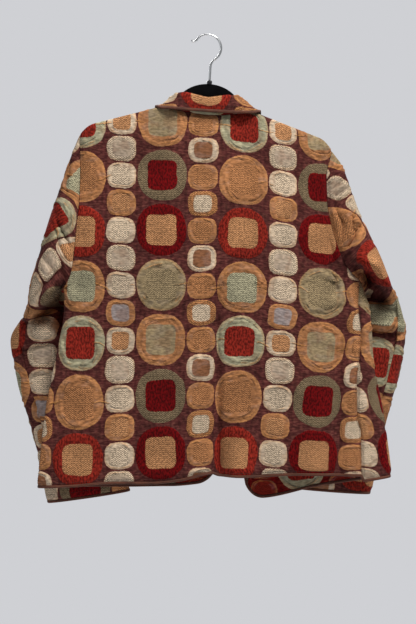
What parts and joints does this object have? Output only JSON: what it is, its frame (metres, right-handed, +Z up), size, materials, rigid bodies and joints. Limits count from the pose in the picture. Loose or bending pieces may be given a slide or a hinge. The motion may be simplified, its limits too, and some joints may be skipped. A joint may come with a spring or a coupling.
{
  "type": "reversible jacket on a hanger",
  "caption": "Boxy jacket of thick tapestry cloth with a turned-down collar and bound edges, hanging open at the front on a flat hanger with a wire hook; its sleeves, neck and hem are hollow.",
  "frame": {"origin": "inside the crown of the hook, where the hanger hangs on its nail or rail", "axes": "+Z up, the jacket's back faces -Y and its open front +Y, so +X is the wearer's right"},
  "size_m": [0.652, 0.1342, 0.7722],
  "materials": {
    "cloth": "chunky woven tapestry, matte",
    "binding": "narrow folded edge binding, matte",
    "hanger_flock": "black velvet flock",
    "ferrule": "black, smooth",
    "hook_wire": "polished wire"
  },
  "bodies": {
    "root": {"back": "cloth", "front_left": "cloth", "front_right": "cloth", "sleeve_left_back": "cloth", "sleeve_left_front": "cloth", "sleeve_right_back": "cloth", "sleeve_right_front": "cloth", "collar": "cloth", "binding_back": "binding", "binding_front_left": "binding", "binding_front_right": "binding", "binding_collar": "binding", "binding_cuff_left": "binding", "binding_cuff_right": "binding", "hanger_frame": "hanger_flock", "hanger_neck": "ferrule", "hanger_hook": "hook_wire"}
  },
  "joints": []
}
